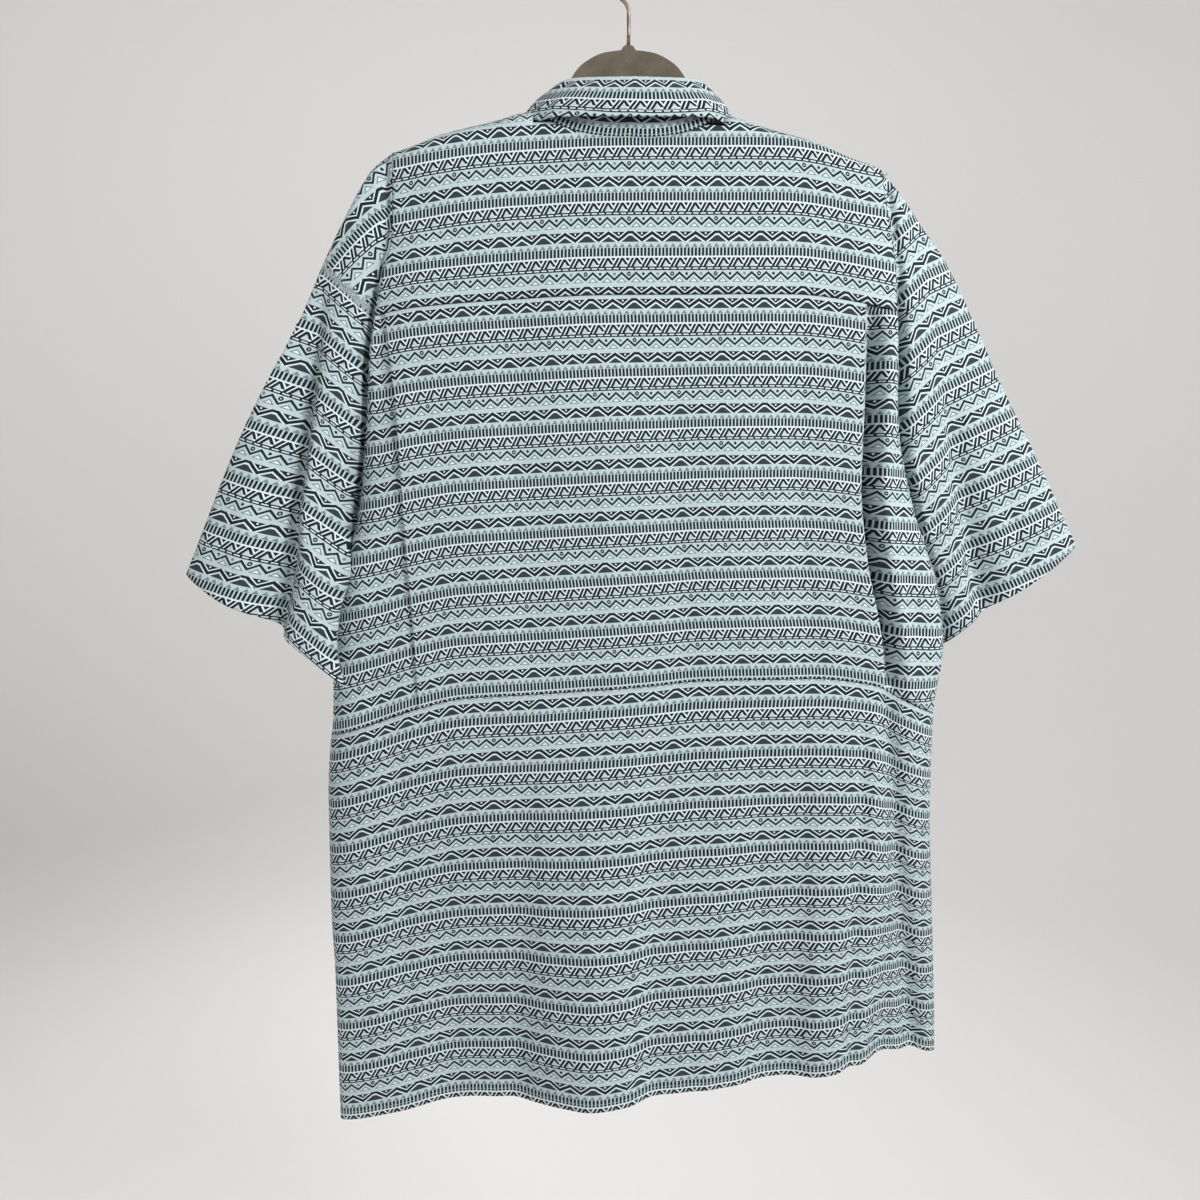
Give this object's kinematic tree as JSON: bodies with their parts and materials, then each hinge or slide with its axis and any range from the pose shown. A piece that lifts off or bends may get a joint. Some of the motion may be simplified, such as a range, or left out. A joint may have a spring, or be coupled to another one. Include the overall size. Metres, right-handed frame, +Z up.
{
  "type": "button-up shirt on a hanger",
  "caption": "Big short-sleeved button-up shirt with a back yoke, action pleats and a waist seam, hanging open on a slim hanger with a wire hook.",
  "frame": {"origin": "the inside of the hook's top, where it hangs on a rail", "axes": "+X towards the wearer's right, +Y out of the front, +Z up"},
  "size_m": [0.8032, 0.1671, 1.0764],
  "materials": {
    "printed_cloth": "woven cotton, printed all over in dark blue on pale aqua",
    "button": "polished",
    "hanger_flock": "velvet flock over plastic",
    "hook_wire": "bronze-coloured wire"
  },
  "bodies": {
    "root": {"hook": "hook_wire", "hanger": "hanger_flock", "yoke": "printed_cloth", "upper_back": "printed_cloth", "lower_back": "printed_cloth", "front_left": "printed_cloth", "front_right": "printed_cloth", "placket": "printed_cloth", "button_1": "button", "button_2": "button", "button_3": "button", "button_4": "button", "button_5": "button", "button_6": "button", "button_7": "button", "collar_stand": "printed_cloth", "collar_leaf": "printed_cloth", "sleeve_left": "printed_cloth", "sleeve_right": "printed_cloth"}
  },
  "joints": []
}
